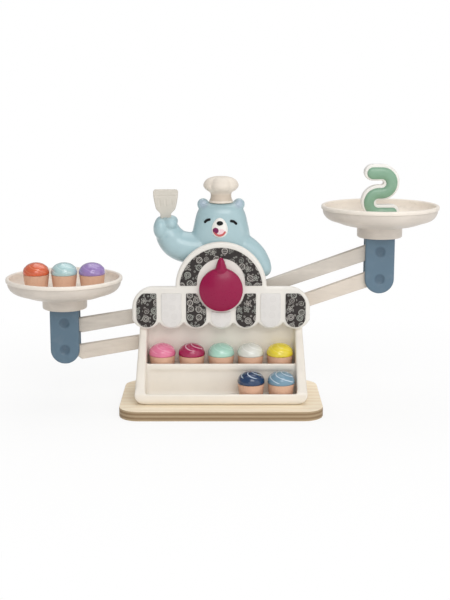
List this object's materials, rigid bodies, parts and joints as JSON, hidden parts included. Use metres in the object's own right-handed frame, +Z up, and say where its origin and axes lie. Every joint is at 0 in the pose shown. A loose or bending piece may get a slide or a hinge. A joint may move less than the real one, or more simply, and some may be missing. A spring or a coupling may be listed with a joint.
{
  "type": "toy balance scale",
  "caption": "Toy balance scale: rocking parallel beams carry two upright pans beside a shop counter with a bear in a cook's hat, a hand-turned pointer, play cupcakes and a number weight.",
  "frame": {"origin": "on the table, under the beams' plane, at the middle of the board's width", "axes": "+X to the right seen from the front, -Y to the front, +Z up"},
  "size_m": [0.4376, 0.146, 0.2412],
  "materials": {
    "board": "satin birch plywood",
    "cream": "satin cream plastic",
    "warm_cream": "satin cream plastic",
    "post_blue": "satin slate blue plastic",
    "bear_blue": "soft gloss pale blue plastic",
    "dark_print": "printed sheet, dark ground with pale line drawings",
    "light_print": "satin white plastic",
    "berry": "gloss magenta plastic",
    "steel": "plain steel",
    "hat": "satin warm white plastic",
    "cup": "matte tan plastic",
    "number_white": "satin white plastic",
    "number_mint": "gloss mint plastic",
    "orange": "gloss",
    "skyblue": "gloss",
    "purple": "gloss",
    "pink": "gloss",
    "magenta": "gloss",
    "mint": "gloss",
    "white": "gloss",
    "yellow": "gloss",
    "navy": "gloss",
    "greyblue": "gloss"
  },
  "bodies": {
    "stand": {"base_board": "board", "counter": "cream", "pivot_tower": "cream", "rear_cover": "cream", "awning_plate": "cream", "arch_ring": "dark_print", "dark_awning_panels": "dark_print", "light_awning_panels": "light_print", "upper_beam_axle": "steel", "lower_beam_axle": "steel", "bear_front": "bear_blue", "bear_back": "bear_blue", "cook_hat": "hat", "spatula": "hat", "base_screws": "steel", "deck_screws": "steel", "cover_screws": "steel", "awning_screws": "steel", "bear_screws": "steel"},
    "pointer": {"pointer_knob": "berry", "pointer_washer": "steel", "pointer_screw": "steel"},
    "upper_beam": {"upper_beam": "warm_cream"},
    "lower_beam": {"lower_beam": "warm_cream"},
    "left_carrier": {"left_post_front": "post_blue", "left_post_rear": "post_blue", "left_post_pins": "steel", "left_pan": "warm_cream"},
    "right_carrier": {"right_post_front": "post_blue", "right_post_rear": "post_blue", "right_post_pins": "steel", "right_pan": "warm_cream"},
    "orange_cupcake": {"orange_icing": "orange", "orange_cup": "cup"},
    "skyblue_cupcake": {"skyblue_icing": "skyblue", "skyblue_cup": "cup"},
    "purple_cupcake": {"purple_icing": "purple", "purple_cup": "cup"},
    "pink_cupcake": {"pink_icing": "pink", "pink_cup": "cup"},
    "magenta_cupcake": {"magenta_icing": "magenta", "magenta_cup": "cup"},
    "mint_cupcake": {"mint_icing": "mint", "mint_cup": "cup"},
    "white_cupcake": {"white_icing": "white", "white_cup": "cup"},
    "yellow_cupcake": {"yellow_icing": "yellow", "yellow_cup": "cup"},
    "navy_cupcake": {"navy_icing": "navy", "navy_cup": "cup"},
    "greyblue_cupcake": {"greyblue_icing": "greyblue", "greyblue_cup": "cup"},
    "number_weight": {"number_body": "number_white", "number_face": "number_mint"}
  },
  "joints": [
    {"name": "beam_rock", "type": "hinge", "parent": "stand", "child": "upper_beam", "pos_m": [0.0033, 0, 0.1038], "axis": [0, 1, 0], "range_deg": [0, 25.8]},
    {"name": "lower_beam_rock", "type": "hinge", "parent": "stand", "child": "lower_beam", "pos_m": [0.0033, 0, 0.0758], "axis": [0, 1, 0], "range_deg": [0, 25.8]},
    {"name": "left_post_swing", "type": "hinge", "parent": "upper_beam", "child": "left_carrier", "pos_m": [-0.15952, 0, 0.08034], "axis": [0, 1, 0], "range_deg": [-25.8, 0]},
    {"name": "right_post_swing", "type": "hinge", "parent": "upper_beam", "child": "right_carrier", "pos_m": [0.1601, 0, 0.15354], "axis": [0, 1, 0], "range_deg": [-25.8, 0]},
    {"name": "pointer_turn", "type": "hinge", "parent": "stand", "child": "pointer", "pos_m": [0, -0.024, 0.1185], "axis": [0, 1, 0], "range_deg": [-90, 90]},
    {"name": "orange_lift", "type": "slide", "parent": "left_carrier", "child": "orange_cupcake", "axis": [0, 0, 1], "range_m": [0, 0.06]},
    {"name": "skyblue_lift", "type": "slide", "parent": "left_carrier", "child": "skyblue_cupcake", "axis": [0, 0, 1], "range_m": [0, 0.06]},
    {"name": "purple_lift", "type": "slide", "parent": "left_carrier", "child": "purple_cupcake", "axis": [0, 0, 1], "range_m": [0, 0.06]},
    {"name": "pink_lift", "type": "slide", "parent": "stand", "child": "pink_cupcake", "axis": [0, 0, 1], "range_m": [0, 0.012]},
    {"name": "magenta_lift", "type": "slide", "parent": "stand", "child": "magenta_cupcake", "axis": [0, 0, 1], "range_m": [0, 0.012]},
    {"name": "mint_lift", "type": "slide", "parent": "stand", "child": "mint_cupcake", "axis": [0, 0, 1], "range_m": [0, 0.012]},
    {"name": "white_lift", "type": "slide", "parent": "stand", "child": "white_cupcake", "axis": [0, 0, 1], "range_m": [0, 0.012]},
    {"name": "yellow_lift", "type": "slide", "parent": "stand", "child": "yellow_cupcake", "axis": [0, 0, 1], "range_m": [0, 0.012]},
    {"name": "navy_lift", "type": "slide", "parent": "stand", "child": "navy_cupcake", "axis": [0, 0, 1], "range_m": [0, 0.05]},
    {"name": "greyblue_lift", "type": "slide", "parent": "stand", "child": "greyblue_cupcake", "axis": [0, 0, 1], "range_m": [0, 0.05]},
    {"name": "number_lift", "type": "slide", "parent": "right_carrier", "child": "number_weight", "axis": [0, 0, 1], "range_m": [0, 0.06]}
  ],
  "couplings": [
    {"joint": "lower_beam_rock", "follows": "beam_rock", "ratio": 1},
    {"joint": "left_post_swing", "follows": "beam_rock", "ratio": -1},
    {"joint": "right_post_swing", "follows": "beam_rock", "ratio": -1}
  ]
}
